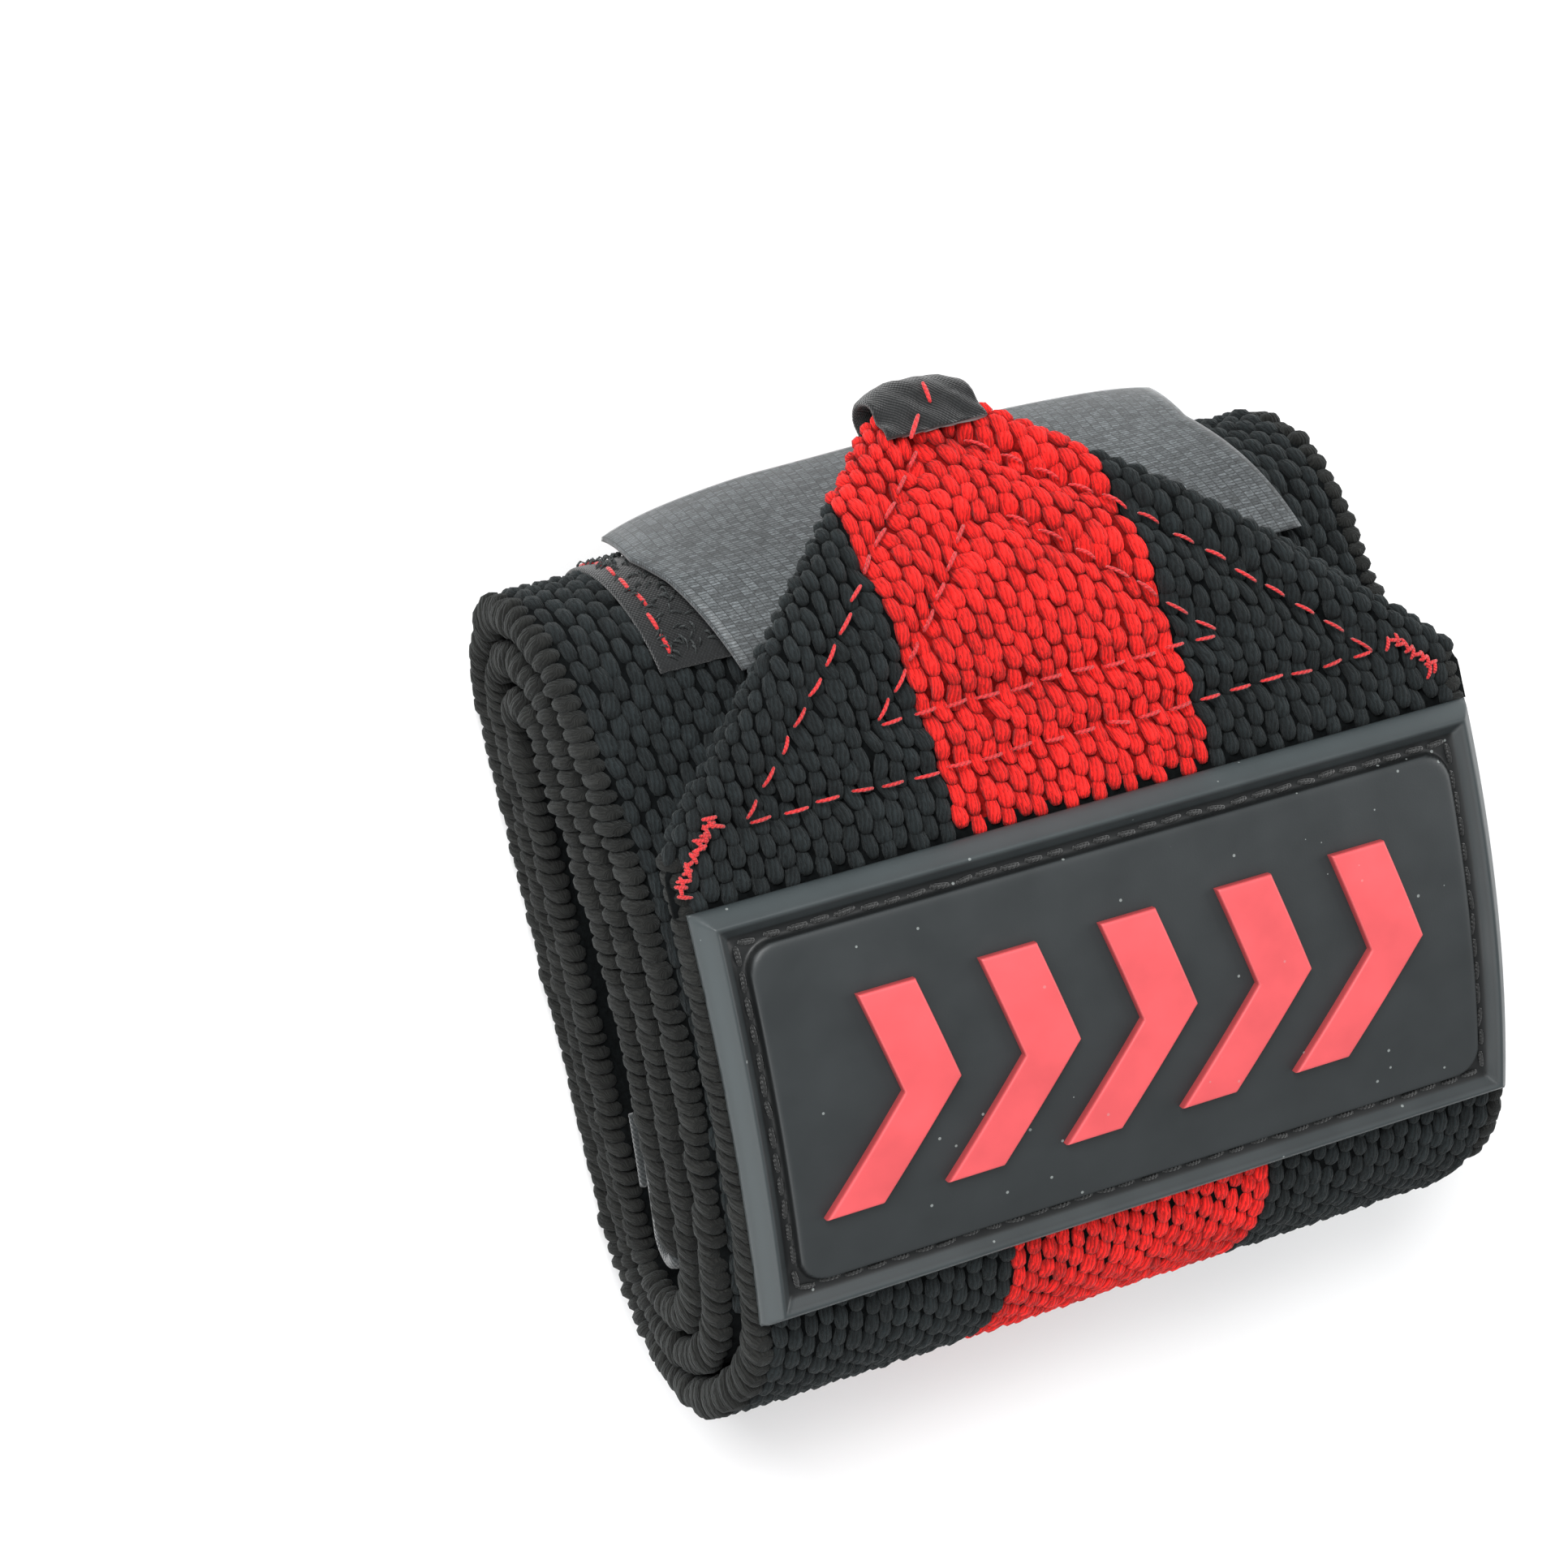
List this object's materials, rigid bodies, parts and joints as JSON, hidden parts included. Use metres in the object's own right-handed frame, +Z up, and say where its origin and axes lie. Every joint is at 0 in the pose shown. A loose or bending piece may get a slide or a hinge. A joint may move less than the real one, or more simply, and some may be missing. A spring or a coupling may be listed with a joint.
{
  "type": "rolled elastic hand wrap",
  "caption": "Elastic hand and wrist wrap, rolled flat, with a rubber patch, a pointed sewn end, a hook tape and a loop patch.",
  "frame": {"origin": "centre of the bounding box, on the plane that the roll rests on", "axes": "+X across the band, +Y from the low fold to the pointed end, +Z up, out of the rubber patch"},
  "size_m": [0.0825, 0.088, 0.038],
  "materials": {
    "band_knit": "matt chunky elastic knit, charcoal with a red centre stripe",
    "red_thread": "sewing thread with a slight sheen",
    "black_thread": "sewing thread",
    "elastic_tape": "smooth narrow woven elastic",
    "loop_pile": "fuzzy loop pile",
    "hook_tape_weave": "fine satin weave, mid grey",
    "hooks": "moulded nylon hooks",
    "patch_rubber": "soft moulded rubber, satin",
    "chevron_rubber": "soft moulded rubber, satin, salmon red",
    "binding_tape": "folded twill binding"
  },
  "bodies": {
    "roll": {"band_roll": "band_knit", "core_hem": "band_knit", "hem_stitching": "red_thread", "hem_tape": "elastic_tape", "thumb_loop": "elastic_tape", "thumb_loop_tacks": "red_thread", "loop_patch": "loop_pile", "loop_patch_stitching": "red_thread"},
    "outer_turn": {"band_front": "band_knit", "patch_base": "patch_rubber", "patch_chevrons": "chevron_rubber", "patch_stitching": "black_thread"},
    "point": {"pointed_end": "band_knit", "left_folded_corner": "band_knit", "right_folded_corner": "band_knit", "tip_binding": "binding_tape", "outer_stitch_rows": "red_thread", "inner_stitch_rows": "red_thread", "left_bar_tack": "red_thread", "right_bar_tack": "red_thread", "hook_tape_sewn_end": "hook_tape_weave", "hook_tape_stitching": "red_thread"},
    "hook_tab": {"hook_tape_free_end": "hook_tape_weave", "hook_field": "hooks"}
  },
  "joints": [
    {"name": "outer_turn_peel", "type": "hinge", "parent": "roll", "child": "outer_turn", "pos_m": [0, -0.03196, 0.03186], "axis": [1, 0, 0], "range_deg": [0, 100]},
    {"name": "point_lift", "type": "hinge", "parent": "outer_turn", "child": "point", "pos_m": [0, 0.00839, 0.03351], "axis": [1, 0, 0], "range_deg": [0, 75]},
    {"name": "hook_tab_flex", "type": "hinge", "parent": "point", "child": "hook_tab", "pos_m": [0, 0.02877, 0.02508], "axis": [1, 0, 0], "range_deg": [0, 6]}
  ]
}
